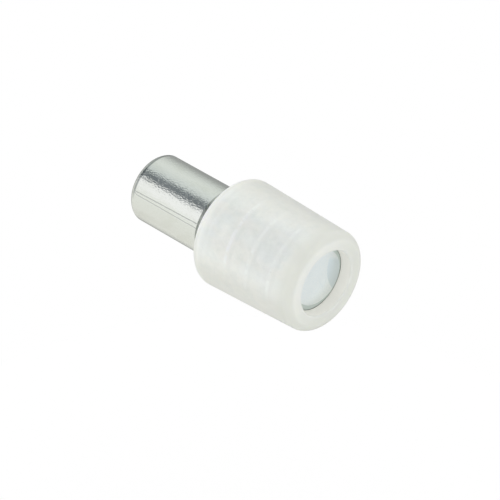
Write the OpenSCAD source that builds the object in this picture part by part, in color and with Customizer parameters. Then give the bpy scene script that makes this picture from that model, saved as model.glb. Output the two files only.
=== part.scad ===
// Shelf support pin: a steel dowel that plugs into a drilled hole in a cabinet side, with a soft
// moulded sleeve over its head that the shelf lies on.
// The pin's axis is X. The origin is the centre of the sleeve's rear face, where the cabinet side's
// surface lies. The plug points along -X and the sleeve along +X, into the cabinet.

/* [Pin] */
// Diameter of the pin, the same all along
pin_d = 5; // [3:0.5:7]
// Length of the pin that enters the hole
plug_len = 7.6; // [5:0.1:14]
// Rounding radius at the plug's end
tip_round = 0.75; // [0.2:0.05:1.2]
// Angle at which that rounding meets the pin's side, in a slight edge
tip_angle = 20; // [0:5:30]
// Rounding radius at the head's end, inside the sleeve
head_round = 0.35; // [0.05:0.05:0.4]
// Radius of the half-round relief groove behind the sleeve
relief_r = 0.4; // [0.2:0.05:0.6]
// Plain pin left between the relief groove and the sleeve's rear face
relief_land = 0.15; // [0.05:0.05:0.5]

/* [Sleeve] */
// Length of the sleeve along the pin
sleeve_len = 8.95; // [5:0.05:14]
// Wall of the sleeve at its rear face, before rounding
rear_wall = 1.46; // [1.2:0.02:2.5]
// Wall of the sleeve at its front, before rounding
front_wall = 1.12; // [1:0.02:2]
// Rounding radius of the rear edge
rear_round = 0.7; // [0.2:0.05:0.8]
// Thickness of the lip in front of the pin's head
lip_len = 0.9; // [0.7:0.05:2]
// How far the lip reaches inwards over the pin's head
lip_reach = 0.15; // [0.05:0.05:0.5]
// Rounding radius of the lip's outer edge
lip_round = 0.65; // [0.2:0.05:0.9]
// Rounding radius of the lip's inner edge
lip_inner_round = 0.15; // [0.1:0.05:0.5]
// Width and depth of the bore's lead-in at the rear face
lead_in = 0.15; // [0.05:0.05:0.3]

/* [Retaining ribs] */
// Distance from the rear face to the middle of the first rib
rib_first = 0.8; // [0.6:0.1:3]
// Distance from each rib to the next
rib_pitch = 1.9; // [1:0.1:4]
// Width of a rib's groove where it opens on the pin
rib_w = 0.6; // [0.3:0.05:0.9]
// Depth of a rib's groove in the pin
rib_depth = 0.2; // [0.1:0.05:0.4]

/* [Fit] */
// Gap all round between the pin and the sleeve
fit_gap = 0.02; // [0.01:0.01:0.05]

/* [Hidden] */
$fn = 128;
// How far a cutting shape runs past what it cuts
over = 1;
// How far a rib's own shape runs into the wall that carries it
rib_root = 0.1;
pin_r = pin_d / 2;
// Place of the shoulder behind the lip, where the pin's head stops
shoulder = sleeve_len - lip_len;
head_len = shoulder - fit_gap;
bore_r = pin_r + fit_gap;
hole_r = pin_r - lip_reach;
// The outside tapers from the rear face to the front
rear_r = pin_r + rear_wall;
front_r = pin_r + front_wall;
taper = atan((rear_r - front_r) / sleeve_len);
// Centres of the two roundings that touch the tapered side, as [radius, distance along the axis]
rear_centre = [rear_r - rear_round * (1 / cos(taper) + tan(taper)), rear_round];
lip_centre = [front_r - lip_round * (1 / cos(taper) - tan(taper)), sleeve_len - lip_round];
// The inner rounding takes what the outer one leaves of the lip's end
inner_round = min(lip_inner_round, lip_centre[0] - hole_r);
inner_centre = [hole_r + inner_round, sleeve_len - inner_round];
// Places of the ribs along the axis, as many as the head holds
rib_end = head_len - head_round - rib_w / 2;
rib_places = [for (x = [rib_first : rib_pitch : rib_end]) x];
// A groove is an arc of a circle through its two edges and its floor
rib_r = (pow(rib_w / 2, 2) + pow(rib_depth, 2)) / (2 * rib_depth);

// Turns an outline of [radius, distance along the axis] about the X axis
module turned() {
    rotate([0, 90, 0]) rotate_extrude() children();
}

// What a rounding of radius r about the centre c takes off a corner, between its touching points p and q
module corner_waste(p, q, c, r) {
    difference() {
        polygon([c, p, c + 1.5 * (p + q - 2 * c), q]);
        translate(c) circle(r);
    }
}

// Circles that form the ribs of the sleeve, and with a larger radius the grooves of the pin
module rib_circles(r) {
    for (x = rib_places) translate([pin_r - rib_depth + rib_r, x]) circle(r);
}

module pin() {
    tip_start = tip_round * [cos(tip_angle), -sin(tip_angle)];
    tip_centre = [pin_r - tip_start[0], tip_round - plug_len];
    head_centre = [pin_r - head_round, head_len - head_round];
    color("silver") turned() difference() {
        translate([0, -plug_len]) square([pin_r, plug_len + head_len]);
        corner_waste(tip_centre + tip_start, tip_centre - [0, tip_round], tip_centre, tip_round);
        corner_waste(head_centre + [head_round, 0], head_centre + [0, head_round], head_centre, head_round);
        rib_circles(rib_r);
        translate([pin_r, -relief_land - relief_r]) circle(relief_r);
    }
}

module sleeve() {
    side = [cos(taper), sin(taper)];
    color("gainsboro") turned() {
        difference() {
            polygon([[hole_r, 0], [rear_r, 0], [front_r, sleeve_len], [hole_r, sleeve_len]]);
            corner_waste(rear_centre - [0, rear_round], rear_centre + rear_round * side,
                         rear_centre, rear_round);
            corner_waste(lip_centre + lip_round * side, lip_centre + [0, lip_round],
                         lip_centre, lip_round);
            corner_waste(inner_centre + [0, inner_round], inner_centre - [inner_round, 0],
                         inner_centre, inner_round);
            // Bore with its lead-in
            translate([0, -over]) square([bore_r, shoulder + over]);
            polygon([[0, -over], [bore_r + lead_in + over, -over], [bore_r, lead_in], [0, lead_in]]);
        }
        // Ribs, sunk a little into the wall that carries them
        intersection() {
            rib_circles(rib_r - fit_gap);
            square([bore_r + rib_root, head_len]);
        }
    }
}

pin();
sleeve();
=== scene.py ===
"""A shelf support pin: a zinc-plated steel dowel with a soft moulded sleeve over its head."""
import math

import bpy
import numpy as np
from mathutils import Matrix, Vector


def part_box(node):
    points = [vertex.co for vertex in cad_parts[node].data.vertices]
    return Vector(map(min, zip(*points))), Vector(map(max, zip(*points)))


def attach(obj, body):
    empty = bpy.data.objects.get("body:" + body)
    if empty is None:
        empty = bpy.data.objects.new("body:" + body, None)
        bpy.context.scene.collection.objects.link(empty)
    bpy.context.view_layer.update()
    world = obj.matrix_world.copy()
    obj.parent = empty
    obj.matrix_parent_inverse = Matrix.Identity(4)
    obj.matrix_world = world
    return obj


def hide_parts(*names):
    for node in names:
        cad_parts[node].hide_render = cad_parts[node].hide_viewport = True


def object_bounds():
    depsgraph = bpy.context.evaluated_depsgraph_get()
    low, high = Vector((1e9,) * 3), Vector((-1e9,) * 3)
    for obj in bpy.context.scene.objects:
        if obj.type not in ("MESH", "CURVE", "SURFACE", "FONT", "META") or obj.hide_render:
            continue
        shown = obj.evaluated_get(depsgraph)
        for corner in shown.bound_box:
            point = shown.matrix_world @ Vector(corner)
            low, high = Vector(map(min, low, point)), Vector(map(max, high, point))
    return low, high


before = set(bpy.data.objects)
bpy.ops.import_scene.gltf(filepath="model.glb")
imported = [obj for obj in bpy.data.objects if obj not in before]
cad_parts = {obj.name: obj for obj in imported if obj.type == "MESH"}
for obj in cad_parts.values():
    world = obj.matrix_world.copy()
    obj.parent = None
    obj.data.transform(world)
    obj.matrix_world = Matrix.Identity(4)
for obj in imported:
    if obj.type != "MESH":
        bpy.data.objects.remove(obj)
cad_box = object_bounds()
scene = bpy.context.scene
MM = 0.001

# ---------------------------------------------------------------------------------------------
# Camera. The support is seen from in front of its open end, half round to one side and from
# above, through a long lens that shows little perspective.
AZIMUTH = math.radians(45.0)
ELEVATION = math.radians(34.66)
CAMERA_DISTANCE = 200 * MM
FOCAL_LENGTH = 213.8
SENSOR_WIDTH = 36
# The lens points a little to the right of the object's middle and a little below it
AIM_RIGHT = 0.80 * MM
AIM_DOWN = 1.10 * MM


def add_camera():
    """Places the camera on the line back from the aim point, and turns it to look along that line."""
    back = Vector((math.sin(AZIMUTH) * math.cos(ELEVATION),
                   -math.cos(AZIMUTH) * math.cos(ELEVATION),
                   math.sin(ELEVATION)))
    right = Vector((math.cos(AZIMUTH), math.sin(AZIMUTH), 0))
    up = back.cross(right)
    middle = (cad_box[0] + cad_box[1]) / 2
    camera = bpy.data.objects.new("camera", bpy.data.cameras.new("camera"))
    scene.collection.objects.link(camera)
    camera.location = middle + right * AIM_RIGHT - up * AIM_DOWN + back * CAMERA_DISTANCE
    camera.rotation_mode = "QUATERNION"
    camera.rotation_quaternion = (-back).to_track_quat("-Z", "Y")
    camera.data.lens = FOCAL_LENGTH
    camera.data.sensor_width = SENSOR_WIDTH
    camera.data.clip_start = 10 * MM
    scene.camera = camera


add_camera()

# ---------------------------------------------------------------------------------------------
# Studio. A white tent of soft light, with a darker gap overhead and a grey far side that show
# only in glints. A pale sheet lies some way below the support.
SOFT_LIGHT = 0.95
FLOOR_DROP = 25 * MM
FLOOR_RADIUS = 30 * MM
FLOOR_SIDES = 64
FLOOR_GLOW = 0.53
# To glints and through clear plastic the floor turns from MIRRORED_FLOOR to MIRRORED_REAR between
# these places along Y
FLOOR_TURNS = (-7 * MM, 19 * MM)
WHITE = (1, 1, 1, 1)
HALF_GREY = (0.5, 0.5, 0.5, 1)
FLOOR_COLOUR = (0.86, 0.86, 0.83, 1)
MIRRORED_FLOOR = (0.84, 0.84, 0.785, 1)
MIRRORED_REAR = (0.36, 0.37, 0.36, 1)
MIRRORED_FRONT = (0.88, 0.91, 0.91, 1)
# Colour of the tent in glints, by the angle round the X axis in degrees: 0 is level in front, 90
# is overhead and 180 is level behind
TENT = [(-180, (0.36, 0.37, 0.36)), (-130, (0.36, 0.37, 0.36)), (-90, (0.70, 0.70, 0.66)),
        (-60, (0.83, 0.83, 0.78)), (-8, (0.86, 0.87, 0.82)), (6, (0.92, 0.93, 0.90)),
        (16, (1.0, 1.0, 0.99)), (47, (1.0, 1.0, 1.0)), (55, (0.175, 0.195, 0.21)),
        (76, (0.175, 0.195, 0.21)), (86, (0.67, 0.71, 0.70)), (125, (0.81, 0.84, 0.80)),
        (150, (0.67, 0.70, 0.67)), (165, (0.50, 0.52, 0.50)), (178, (0.36, 0.37, 0.36))]


class Wire:
    """A socket among a material's nodes, so that shader maths reads as a formula."""

    def __init__(self, tree, socket=None):
        self.tree = tree
        self.socket = socket

    def node(self, kind, settings=None, inputs=None, output=0):
        """Adds a node of this kind, sets it up, fills its sockets and gives one of its outputs."""
        made = self.tree.nodes.new(kind)
        for name, value in (settings or {}).items():
            if name == "stops":
                for _ in value[2:]:
                    made.color_ramp.elements.new(0.5)
                for element, (place, colour) in zip(made.color_ramp.elements, value):
                    element.position = place
                    element.color = colour
            else:
                setattr(made, name, value)
        for name, value in (inputs or {}).items():
            if isinstance(value, Wire):
                self.tree.links.new(value.socket, made.inputs[name])
            else:
                made.inputs[name].default_value = value
        return Wire(self.tree, made.outputs[output] if len(made.outputs) else None)

    def math(self, operation, *others):
        """A Math node on this value and the others."""
        return self.node("ShaderNodeMath", {"operation": operation}, dict(enumerate((self,) + others)))

    def __add__(self, other):
        return self.math("ADD", other)

    def __sub__(self, other):
        return self.math("SUBTRACT", other)

    def __mul__(self, other):
        return self.math("MULTIPLY", other)

    def __truediv__(self, other):
        return self.math("DIVIDE", other)

    __radd__ = __add__
    __rmul__ = __mul__

    def __rsub__(self, other):
        return self * -1.0 + other

    def step(self, start, end):
        """Goes smoothly from 0 at start to 1 at end, where start may be the greater."""
        inputs = {"Value": self, "From Min": start, "From Max": end}
        return self.node("ShaderNodeMapRange", {"interpolation_type": "SMOOTHSTEP"}, inputs)

    def part(self, name):
        """One coordinate of this vector."""
        return self.node("ShaderNodeSeparateXYZ", inputs={0: self}, output=name)

    def mix(self, colour, other):
        """Colour where this mask is 0, and the other colour where it is 1."""
        settings = {"data_type": "RGBA"}
        return self.node("ShaderNodeMix", settings, {"Factor": self, 6: colour, 7: other}, output=2)

    def blend(self, shader, other):
        """One shader where this mask is 0, and the other where it is 1."""
        return self.node("ShaderNodeMixShader", inputs={0: self, 1: shader, 2: other})


def rays(root, *kinds):
    """1 for the named kinds of ray, and 0 for the rest."""
    seen = [root.node("ShaderNodeLightPath", output="Is %s Ray" % kind) for kind in kinds]
    return seen[0] if len(seen) == 1 else seen[0].math("MAXIMUM", seen[1])


def dress_world():
    """White to the camera, banded to rays that glint off a surface, also where they go on through
    clear plastic, and evenly soft to all else. Low in front of the open end the bands give way to
    MIRRORED_FRONT."""
    world = bpy.data.worlds.new("tent")
    scene.world = world
    world.use_nodes = True
    world.node_tree.nodes.clear()
    root = Wire(world.node_tree)
    direction = root.node("ShaderNodeTexCoord", output="Generated")
    turn = direction.part("Z").math("ARCTAN2", direction.part("Y") * -1.0) / (2 * math.pi) + 0.5
    stops = [((angle + 180) / 360, colour + (1,)) for angle, colour in TENT]
    tent = root.node("ShaderNodeValToRGB", {"stops": stops}, {0: turn})
    low_front = direction.part("X").step(0.2, 0.4) * direction.part("Z").step(-0.25, -0.4)
    tent = low_front.mix(tent, MIRRORED_FRONT)
    soft = root.node("ShaderNodeBackground", inputs={0: WHITE, 1: SOFT_LIGHT})
    mirrored = root.node("ShaderNodeBackground", inputs={0: tent, 1: 1.0})
    white = root.node("ShaderNodeBackground", inputs={0: WHITE, 1: 1.0})
    glinted = root.node("ShaderNodeLightPath", output="Glossy Depth").math("GREATER_THAN", 0.5)
    light = (rays(root, "Glossy", "Transmission") * glinted).blend(soft, mirrored)
    seen = rays(root, "Camera").blend(light, white)
    root.node("ShaderNodeOutputWorld", inputs={0: seen})


def add_floor():
    """A round sheet below the support, white to the camera, with half of its shadow kept."""
    turn = np.linspace(0, 2 * math.pi, FLOOR_SIDES, endpoint=False)
    height = np.full(FLOOR_SIDES, cad_box[0].z - FLOOR_DROP)
    rim = np.stack([FLOOR_RADIUS * np.cos(turn), FLOOR_RADIUS * np.sin(turn), height], 1)
    mesh = bpy.data.meshes.new("floor")
    mesh.from_pydata(rim.tolist(), [], [list(range(FLOOR_SIDES))])
    floor = bpy.data.objects.new("floor", mesh)
    scene.collection.objects.link(floor)
    material = bpy.data.materials.new("pale_sheet")
    material.use_nodes = True
    material.node_tree.nodes.clear()
    root = Wire(material.node_tree)
    sheet = root.node("ShaderNodeBsdfDiffuse", inputs={0: FLOOR_COLOUR})
    half = root.node("ShaderNodeBsdfDiffuse", inputs={0: HALF_GREY})
    glow = root.node("ShaderNodeEmission", inputs={0: WHITE, 1: FLOOR_GLOW})
    lifted = root.node("ShaderNodeAddShader", inputs={0: half, 1: glow})
    back = root.node("ShaderNodeTexCoord", output="Object").part("Y").step(*FLOOR_TURNS)
    tint = back.mix(MIRRORED_FLOOR, MIRRORED_REAR)
    mirrored = root.node("ShaderNodeEmission", inputs={0: tint, 1: 1.0})
    plain = rays(root, "Glossy", "Transmission").blend(sheet, mirrored)
    seen = rays(root, "Camera").blend(plain, lifted)
    below = root.node("ShaderNodeNewGeometry", output="Backfacing")
    seen = below.blend(seen, root.node("ShaderNodeBsdfTransparent"))
    root.node("ShaderNodeOutputMaterial", inputs={0: seen})
    mesh.materials.append(material)


dress_world()
add_floor()

# ---------------------------------------------------------------------------------------------
# Pin. Drawn steel wire cut to length, with a rounded plug end, a relief groove behind the sleeve
# and four shallow grooves under it, tumbled and zinc plated. A fine seam runs along one side.
PIN_LOW, PIN_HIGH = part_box("pin")
PIN_RADIUS = PIN_HIGH.z
TIP_ROUND = 0.75 * MM
TIP_ANGLE = 20
EDGE_BLEND = 0.12 * MM
HEAD_ROUND = 0.35 * MM
RELIEF_RADIUS = 0.4 * MM
RELIEF_LAND = 0.15 * MM
RIB_PLACES = (0.8 + 1.9 * np.arange(4)) * MM
RIB_WIDTH = 0.6 * MM
RIB_DEPTH = 0.2 * MM
RIB_RADIUS = (RIB_WIDTH ** 2 / 4 + RIB_DEPTH ** 2) / (2 * RIB_DEPTH)
PIN_SIDES = 192
SHARP_ANGLE = 35
# Angles in degrees round the pin of the seam's two lines, and places in millimetres along it where
# the seam starts and where the painted shade line runs round the tip
SEAM_HIGH = 22.8
SEAM_LOW = 18.2
SEAM_START = -7.0
TIP_SHADE_LINE = -7.04
ZINC = (0.83, 0.85, 0.825, 1)
COVERED_ZINC = (0.93, 0.95, 0.93, 1)
MOTTLED_ZINC = (0.75, 0.77, 0.72, 1)
BARE_END = (0.88, 0.91, 0.905, 1)
# Painted light on the lower part of the end face
PAINTED_LIGHT_END = (0.96, 1.0, 1.0, 1)
# The sheared zone's own duller tone, with a painted darker reflection of its tilted facet
SHEARED_AND_SHADED_END = (0.76, 0.83, 0.86, 1)
# Dark of the seam lines, and painted shade in the relief groove and round the tip
SEAM_MARK_AND_SHADE = (0.25, 0.27, 0.27, 1)
# Painted shade in the corner between the pin's end and the hole's wall
CORNER_SHADE = (0.55, 0.62, 0.585, 1)


def arc(place, radius, size, start, end, steps=12):
    """Points [x, r] of a circle of this size about (place, radius), from angle start to end in
    degrees, where 0 points along +X and 90 points away from the axis."""
    turn = np.radians(np.linspace(start, end, steps))
    return np.stack([place + size * np.cos(turn), radius + size * np.sin(turn)], 1)


def line(start, end, steps):
    """Points [x, r] spaced evenly between start and end, which are both left out."""
    share = np.linspace(0, 1, steps + 2)[1:-1, None]
    return (1 - share) * np.array(start) + share * np.array(end)


def turned(name, profile, around, closed):
    """Turns a profile of [x, r] about the X axis: the point at angle t is (x, r sin t, r cos t). A
    closed profile joins its last ring to its first, and an open one ends in a point at each end."""
    turn = np.linspace(0, 2 * math.pi, around, endpoint=False)
    x, r = profile[:, :1], profile[:, 1:]
    rings = len(profile)
    points = np.stack([x + 0 * turn, r * np.sin(turn), r * np.cos(turn)], 2).reshape(-1, 3)
    ring, step = np.meshgrid(np.arange(rings if closed else rings - 1), np.arange(around), indexing="ij")
    after = (ring + 1) % rings * around
    beside = (step + 1) % around
    ring = ring * around
    faces = np.stack([ring + step, ring + beside, after + beside, after + step], 2).reshape(-1, 4).tolist()
    if not closed:
        spoke = np.arange(around)
        beside = (spoke + 1) % around
        tail = (rings - 1) * around
        first, last = rings * around + 0 * spoke, rings * around + 1 + 0 * spoke
        points = np.vstack([points, [[x[0, 0], 0, 0], [x[-1, 0], 0, 0]]])
        faces += np.stack([first, beside, spoke], 1).tolist()
        faces += np.stack([last, tail + spoke, tail + beside], 1).tolist()
    mesh = bpy.data.meshes.new(name)
    mesh.from_pydata(points.tolist(), [], faces)
    mesh.polygons.foreach_set("use_smooth", np.ones(len(mesh.polygons), bool))
    mesh.set_sharp_from_angle(angle=math.radians(SHARP_ANGLE))
    piece = bpy.data.objects.new(name, mesh)
    scene.collection.objects.link(piece)
    return piece


def rib_arcs(size):
    """For each rib, the arc [x, r] that dips below the pin's surface, from its rear to its front."""
    centre = PIN_RADIUS - RIB_DEPTH + RIB_RADIUS
    reach = math.degrees(math.asin((centre - PIN_RADIUS) / size))
    return [arc(place, centre, size, 180 + reach, 360 - reach) for place in RIB_PLACES]


def pin_profile():
    """The pin's outline from the middle of its plug end to the middle of its head."""
    tip, head = PIN_LOW.x, PIN_HIGH.x
    centre = [tip + TIP_ROUND, PIN_RADIUS - TIP_ROUND * math.cos(math.radians(TIP_ANGLE))]
    corner = centre[0] - TIP_ROUND * math.sin(math.radians(TIP_ANGLE))
    reach = EDGE_BLEND * math.tan(math.radians(TIP_ANGLE / 2))
    blend = arc(corner + reach, PIN_RADIUS - EDGE_BLEND, EDGE_BLEND, 90 + TIP_ANGLE, 90, 6)
    relief = arc(-RELIEF_LAND - RELIEF_RADIUS, PIN_RADIUS, RELIEF_RADIUS, 180, 360, 24)
    parts = [line([tip, 0], [tip, centre[1]], 8),
             arc(*centre, TIP_ROUND, 180, 92 + TIP_ANGLE, 24),
             blend,
             line(blend[-1], relief[0], 30),
             relief]
    parts += rib_arcs(RIB_RADIUS)
    parts += [arc(head - HEAD_ROUND, PIN_RADIUS - HEAD_ROUND, HEAD_ROUND, 90, 0),
              line([head, PIN_RADIUS - HEAD_ROUND], [head, 0], 8)]
    return np.vstack(parts)


def new_material(name):
    """An empty material and the start of its nodes, with Object coordinates in millimetres."""
    material = bpy.data.materials.new(name)
    material.use_nodes = True
    material.node_tree.nodes.clear()
    root = Wire(material.node_tree)
    metres = root.node("ShaderNodeTexCoord", output="Object")
    place = root.node("ShaderNodeVectorMath", {"operation": "SCALE"}, {0: metres, "Scale": 1000.0})
    return material, root, place


def noise(place, stretch, detail=2.0, roughness=0.5):
    """Smooth noise about 0.5 of this detail, with stretch giving its waves per millimetre."""
    wave = place.node("ShaderNodeVectorMath", {"operation": "MULTIPLY"}, {0: place, 1: stretch})
    return place.node("ShaderNodeTexNoise", inputs={"Vector": wave, "Scale": 1.0, "Detail": detail,
                                                    "Roughness": roughness})


def across(place):
    """Distance from the X axis."""
    flat = place.node("ShaderNodeVectorMath", {"operation": "MULTIPLY"}, {0: place, 1: (0, 1, 1)})
    return flat.node("ShaderNodeVectorMath", {"operation": "LENGTH"}, {0: flat}, output="Value")


def zinc_plate():
    """Bright zinc over drawn steel: a fine grain, dull speckles and broader dull spots, two seam lines
    that close in a point near the tip, a painted shade line round the tip and painted shade in the relief
    groove.
    The end in the sleeve's hole is bare. It is darker and bluer where it sheared, its own tone with a
    painted darker reflection of a tilted facet, and in a V-shaped nick. Painted light makes it paler
    towards its lower edge, and painted shade darkens the corner round it."""
    material, root, place = new_material("zinc_plate")
    along, y, z = place.part("X"), place.part("Y"), place.part("Z")
    turn = z.math("ARCTAN2", y * -1.0) * (180 / math.pi)
    # In millimetres along the pin: the two edges of the relief groove, and the end in the hole
    groove_rear = -(RELIEF_LAND + 2 * RELIEF_RADIUS) / MM
    groove_front = -RELIEF_LAND / MM
    head = PIN_HIGH.x / MM

    # Seam: the upper line climbs half a degree a millimetre, and the lower one meets it near the tip
    wander = (noise(place, (1.2, 0, 0)) - 0.5) * 1.2
    high_line = (along - SEAM_START) * 0.5 + SEAM_HIGH
    low_line = SEAM_LOW + along.step(SEAM_START + 0.25, SEAM_START - 0.1) * (SEAM_HIGH - SEAM_LOW)
    seam_end = along.step(SEAM_START - 0.15, SEAM_START + 0.05)
    seam_end = seam_end * along.step(groove_rear + 0.05, groove_rear - 0.05)
    high = (turn - high_line + wander).math("ABSOLUTE").step(1.0, 0.2)
    low = (turn - low_line + wander).math("ABSOLUTE").step(1.0, 0.2)
    seam = high.math("MAXIMUM", low) * seam_end

    # Height: the grain is nearly smoothed away where the sleeve covers it
    end = along.step(head - 0.08, head - 0.03)
    grain = noise(place, (8.0, 10.0, 10.0), 1.0)
    dimple = noise(place, (1.5, 2.5, 2.5), 1.0)
    covered = along.step(0.0, 0.4)
    height = grain * (0.018 - covered * 0.016) + dimple * 0.006 - seam * 0.012
    normal = root.node("ShaderNodeBump", inputs={"Height": height, "Distance": MM, "Strength": 1.0})

    # Painted shade in the relief groove, round the tip and in the corner round the end, the seam lines,
    # and the end's own marks, with painted light towards its lower edge
    # Painted shade in the relief groove, stronger towards -Y
    relief = along.step(groove_rear - 0.03, groove_rear + 0.02)
    relief = relief * along.step(groove_front + 0.05, groove_front - 0.05)
    relief = relief * (0.1 + y.step(-0.3, -1.1) * 0.3)
    # Painted shade line at the edge where the tip's rounding meets the side, on the upper half
    ring = (along - TIP_SHADE_LINE).math("ABSOLUTE").step(0.13, 0.04) * z.step(0.2, 1.25)
    # Painted shade in the corner round the end, wider towards the lower side
    wide, narrow = y * 0.8 - z * 0.6, (y * 0.6 + z * 0.8) * 1.1 - 0.06
    rim = (wide * wide + narrow * narrow).math("SQRT").step(2.17, 2.25)
    rim = along.step(head - 0.53, head - 0.43) * rim
    dark = relief.math("MAXIMUM", seam * 0.52).math("MAXIMUM", ring * 0.8)
    # Sheared zone: its own tone, with a painted darker reflection standing in for its tilted facet
    sheared_and_shaded = (y - z * z * 0.22 + (grain - 0.5) * 0.1).step(0.93, 1.03) * (z + y * 0.5).step(1.9, 1.4)
    sheared_and_shaded = end * sheared_and_shaded.math("MAXIMUM", grain.step(0.35, 0.65) * 0.3)
    nick = (z + 1.05 - (y - 0.6).math("ABSOLUTE") * 1.9).math("ABSOLUTE").step(0.12, 0.02)
    nick = nick * z.step(-0.3, -0.45)
    mottle = noise(place, (0.7, 1.3, 1.3), 3.0, 0.6).step(0.45, 0.7)
    mottle = mottle.math("MAXIMUM", grain.step(0.5, 0.75)) * along.step(0.0, -0.4)
    skin = (mottle * 0.5).mix(covered.mix(ZINC, COVERED_ZINC), MOTTLED_ZINC)
    # Painted light makes the end paler towards its lower edge
    bare = (y * 0.6 - z).step(0.3, 1.6).mix(BARE_END, PAINTED_LIGHT_END)
    colour = sheared_and_shaded.mix(end.mix(skin, bare), SHEARED_AND_SHADED_END)
    colour = (end * nick * 0.4).mix(colour, SHEARED_AND_SHADED_END)
    colour = rim.mix(dark.mix(colour, SEAM_MARK_AND_SHADE), CORNER_SHADE)
    shader = root.node("ShaderNodeBsdfPrincipled", inputs={
        "Base Color": colour, "Metallic": 1.0 - rim, "Roughness": 0.12 + grain * 0.05 + end * 0.22,
        "Normal": normal})
    root.node("ShaderNodeOutputMaterial", inputs={0: shader})
    return material


pin = turned("steel_pin", pin_profile(), PIN_SIDES, closed=False)
pin.data.materials.append(zinc_plate())
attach(pin, "root")
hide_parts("pin")

# ---------------------------------------------------------------------------------------------
# Sleeve. Soft natural plastic moulded in one piece with low ribs in its bore, pushed over the
# pin's head until the lip at its open front stops it.
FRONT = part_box("sleeve")[1].x
REAR_RADIUS = 3.96 * MM
FRONT_RADIUS = 3.62 * MM
REAR_ROUND = 0.7 * MM
LIP_ROUND = 0.65 * MM
LIP_INNER_ROUND = 0.15 * MM
LIP_LENGTH = 0.9 * MM
# How far the hole's wall runs past the shoulder, to lie by the pin's rounded head
LIP_FLASH = 0.05 * MM
HOLE_RADIUS = 2.35 * MM
BORE_RADIUS = 2.52 * MM
LEAD_IN = 0.15 * MM
FIT_GAP = 0.02 * MM
SLEEVE_SIDES = 192
# Slack when the bore's points are picked out of the outline
SLACK = 0.001 * MM
# Where each of the four ribs shows on the outside as a painted highlight ring and a painted shade ring, in
# millimetres from the rear face, and how strongly
RIB_SHOWN = ((1.3, 0.4), (3.2, 1.0), (5.1, 0.9), (7.0, 0.8))
CLEARNESS = 0.10
PLASTIC_IOR = 1.5
SCATTER_DEPTH = 1.5 * MM
PLASTIC_WARM = (0.885, 0.90, 0.85, 1)
PLASTIC_COOL = (0.855, 0.895, 0.865, 1)
# Painted shade at the sleeve's outline, where its surface is seen edge-on
PLASTIC_EDGE_SHADE = (0.79, 0.80, 0.75, 1)
# Painted highlight on the rib rings and along the upper rear edge
PLASTIC_HIGHLIGHT = (0.935, 0.985, 0.94, 1)
# Random haze, and painted shade rings in front of the ribs
PLASTIC_HAZE_AND_SHADE = (0.70, 0.75, 0.72, 1)
# Painted shade over the sleeve's front end
PLASTIC_FRONT_SHADE = (0.70, 0.715, 0.67, 1)
# Painted light: the hole's wall is lighter to stand in for the light that comes through the lip
HOLE_WALL_LIGHT = (0.99, 0.99, 0.925, 1)
CLEAR_SKIN = (0.95, 0.97, 0.97, 1)
CLEAR_BORE = (0.97, 0.97, 0.96, 1)


def sleeve_profile():
    """The closed outline of the sleeve's wall: rear face, tapered side, lip, shoulder and bore."""
    taper = math.atan((REAR_RADIUS - FRONT_RADIUS) / FRONT)
    side = 90 - math.degrees(taper)
    rear_r = REAR_RADIUS - REAR_ROUND * (1 / math.cos(taper) + math.tan(taper))
    lip_r = FRONT_RADIUS - LIP_ROUND * (1 / math.cos(taper) - math.tan(taper))
    rear = arc(REAR_ROUND, rear_r, REAR_ROUND, 180, side, 24)
    lip = arc(FRONT - LIP_ROUND, lip_r, LIP_ROUND, side, 0, 24)
    inner = arc(FRONT - LIP_INNER_ROUND, HOLE_RADIUS + LIP_INNER_ROUND, LIP_INNER_ROUND, 0, -90)
    shoulder = FRONT - LIP_LENGTH
    parts = [line([0, BORE_RADIUS + LEAD_IN], rear[0], 4), rear, line(rear[-1], lip[0], 40), lip, inner,
             [[shoulder - LIP_FLASH, HOLE_RADIUS], [shoulder, HOLE_RADIUS + LIP_FLASH],
              [shoulder, BORE_RADIUS]]]
    parts += [rib[::-1] for rib in reversed(rib_arcs(RIB_RADIUS - FIT_GAP))]
    parts.append([[LEAD_IN, BORE_RADIUS], [0, BORE_RADIUS + LEAD_IN]])
    return np.vstack(parts)


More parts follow.
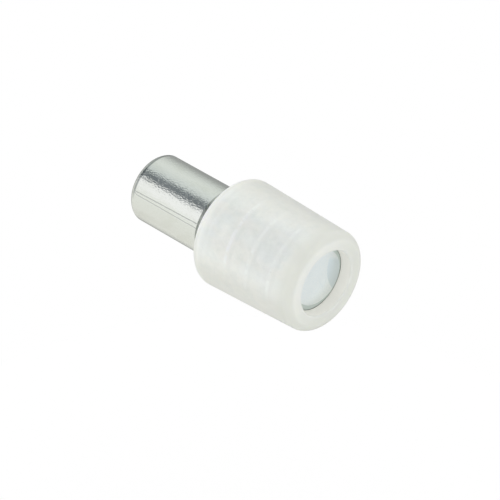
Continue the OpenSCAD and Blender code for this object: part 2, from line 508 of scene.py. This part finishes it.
def natural_plastic():
    """Unpigmented soft plastic: milky, hazed and clouded under a smooth skin that is clear in part,
    apart from its two ends, with painted shade where it is seen edge-on. By each bore rib runs a painted
    highlight ring with a painted shade ring in front of it, both broken. The upper part of the rear edge
    has a painted highlight, and the front end painted shade.
    The hole's wall is opaque and painted lighter, and its normals lean forward, both to stand in for the
    light that the real one gets through the lip."""
    material, root, place = new_material("natural_plastic")
    along = place.part("X")
    radius = across(place)
    # In millimetres: the front and the lip's shoulder along the sleeve, and the hole's radius
    face = FRONT / MM
    shoulder = (FRONT - LIP_LENGTH) / MM
    hole = HOLE_RADIUS / MM
    cloud = noise(place, (0.5, 0.9, 0.9))
    wisp = noise(place, (1.2, 2.0, 2.0), 3.0, 0.6)
    ring, shade = 0.0, 0.0
    for rib, strength in RIB_SHOWN:
        ring = (along - rib).math("ABSOLUTE").step(0.2, 0.04) * strength + ring
        shade = (along - (rib + 0.36)).math("ABSOLUTE").step(0.22, 0.04) * strength + shade
    ring, shade = ring * wisp.step(0.35, 0.6), shade * wisp.step(0.62, 0.42)
    height = wisp * 0.014 + ring * 0.012
    normal = root.node("ShaderNodeBump", inputs={"Height": height, "Distance": MM, "Strength": 1.0})
    slant = root.node("ShaderNodeLayerWeight", inputs={"Blend": 0.5}, output="Facing")
    facing = slant.step(0.55, 0.15)
    tinted = cloud.step(0.35, 0.65).mix(PLASTIC_WARM, PLASTIC_COOL)
    haze = noise(place, (1.6, 1.3, 1.3), 4.0, 0.7)
    # Painted shade at the outline, where the surface is seen edge-on
    body = facing.mix(PLASTIC_EDGE_SHADE, tinted)
    body = (haze.step(0.6, 0.3) * 0.3).mix(body, PLASTIC_HAZE_AND_SHADE)
    # Painted highlight rings and painted shade rings by the ribs
    colour = (ring * facing * 0.9).mix(body, PLASTIC_HIGHLIGHT)
    colour = (shade * facing * 0.32).mix(colour, PLASTIC_HAZE_AND_SHADE)
    # Painted shade over the front end: its outer part, and nearer the hole towards +Y and below
    lower = (place.part("Y") - place.part("Z")).step(-4.0, 2.0)
    front_shade = along.step(face - 1.55, face - 0.25) * lower.math("MAXIMUM", radius.step(2.9, 3.3)) * 0.95
    colour = front_shade.mix(colour, PLASTIC_FRONT_SHADE)
    # Painted highlight along the upper part of the rear edge
    rear_highlight = (along - 0.3).math("ABSOLUTE").step(0.25, 0.1) * place.part("Z").step(0.2, 2.2)
    colour = (rear_highlight * 0.8).mix(colour, PLASTIC_HIGHLIGHT)
    milky = root.node("ShaderNodeBsdfPrincipled", inputs={
        "Base Color": colour, "Roughness": 0.28 + slant * 0.15, "IOR": PLASTIC_IOR,
        "Subsurface Weight": 1.0, "Subsurface Radius": (1.0, 1.0, 0.9),
        "Subsurface Scale": SCATTER_DEPTH, "Specular IOR Level": 0.5, "Normal": normal})
    clear = root.node("ShaderNodeBsdfPrincipled", inputs={
        "Base Color": CLEAR_SKIN, "Roughness": 0.15, "IOR": PLASTIC_IOR, "Transmission Weight": 1.0,
        "Normal": normal})
    outward = root.node("ShaderNodeNewGeometry", output="Normal")
    leaning = root.node("ShaderNodeVectorMath", {"operation": "ADD"}, {0: outward, 1: (0.6, 0, 0)})
    leaning = root.node("ShaderNodeVectorMath", {"operation": "NORMALIZE"}, {0: leaning})
    # Painted light: a lighter colour and forward-leaning normals stand in for the light through the lip
    wall = root.node("ShaderNodeBsdfPrincipled", inputs={
        "Base Color": HOLE_WALL_LIGHT, "Roughness": 0.35, "IOR": PLASTIC_IOR, "Specular IOR Level": 0.5,
        "Normal": leaning})
    clearness = CLEARNESS * (0.4 + wisp * 1.2)
    clearness = clearness * along.step(0.5, 1.2) * along.step(face - 0.45, face - 1.75)
    skin = clearness.blend(milky, clear)
    in_hole = along.step(shoulder - 0.1, shoulder - 0.08) * along.step(face - 0.02, face - 0.2)
    in_hole = in_hole * radius.step(hole + 0.15, hole + 0.05)
    root.node("ShaderNodeOutputMaterial", inputs={0: in_hole.blend(skin, wall)})
    return material


def bore_plastic():
    """The smooth face of the same plastic that lies on the pin, as clear as water."""
    material, root, _ = new_material("bore_plastic")
    shader = root.node("ShaderNodeBsdfPrincipled", inputs={
        "Base Color": CLEAR_BORE, "Roughness": 0.15, "IOR": PLASTIC_IOR, "Transmission Weight": 1.0})
    root.node("ShaderNodeOutputMaterial", inputs={0: shader})
    return material


outline = sleeve_profile()
sleeve = turned("moulded_sleeve", outline, SLEEVE_SIDES, closed=True)
in_bore = (outline[:, 1] < BORE_RADIUS + SLACK) & (outline[:, 0] < FRONT - LIP_LENGTH + SLACK)
sleeve.data.polygons.foreach_set("material_index", np.repeat(in_bore, SLEEVE_SIDES).astype(int))
sleeve.data.materials.append(natural_plastic())
sleeve.data.materials.append(bore_plastic())
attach(sleeve, "root")
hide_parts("sleeve")

# ---------------------------------------------------------------------------------------------
# Picture settings.
scene.view_settings.view_transform = "Standard"
